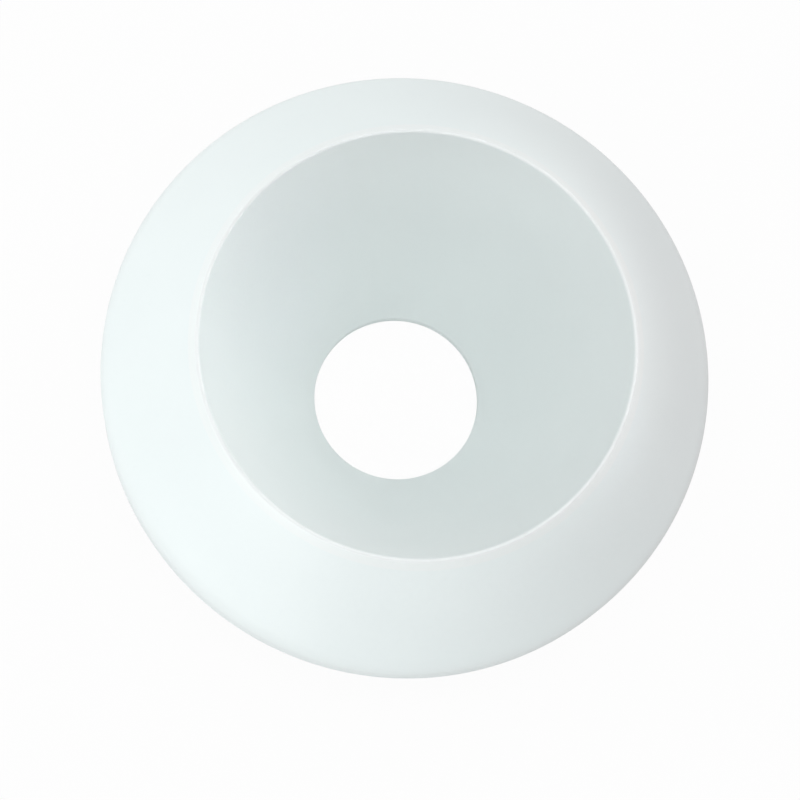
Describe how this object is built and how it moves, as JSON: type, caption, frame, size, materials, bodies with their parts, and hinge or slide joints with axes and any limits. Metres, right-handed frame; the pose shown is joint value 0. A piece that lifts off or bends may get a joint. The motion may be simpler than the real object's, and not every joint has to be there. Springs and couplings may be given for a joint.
{
  "type": "sprinkler escutcheon",
  "caption": "Round white plastic recessed escutcheon for a pendent fire sprinkler: a dished cup with a hole for the sprinkler, and a sloped skirt that slides on it to meet the ceiling.",
  "frame": {"origin": "centre of the cup's back face, on the axis of the sprinkler's hole, where the pipe fitting seats", "axes": "+Z along the hole's axis, out of the ceiling into the room; +X and +Y are any two directions across it"},
  "size_m": [0.077, 0.077, 0.0355],
  "materials": {
    "skirt_plastic": "satin",
    "cup_plastic": "satin"
  },
  "bodies": {
    "cup": {"cup": "cup_plastic"},
    "skirt": {"skirt": "skirt_plastic"}
  },
  "joints": [
    {"name": "skirt_slide", "type": "slide", "parent": "cup", "child": "skirt", "axis": [0, 0, -1], "range_m": [0, 0.01]}
  ]
}
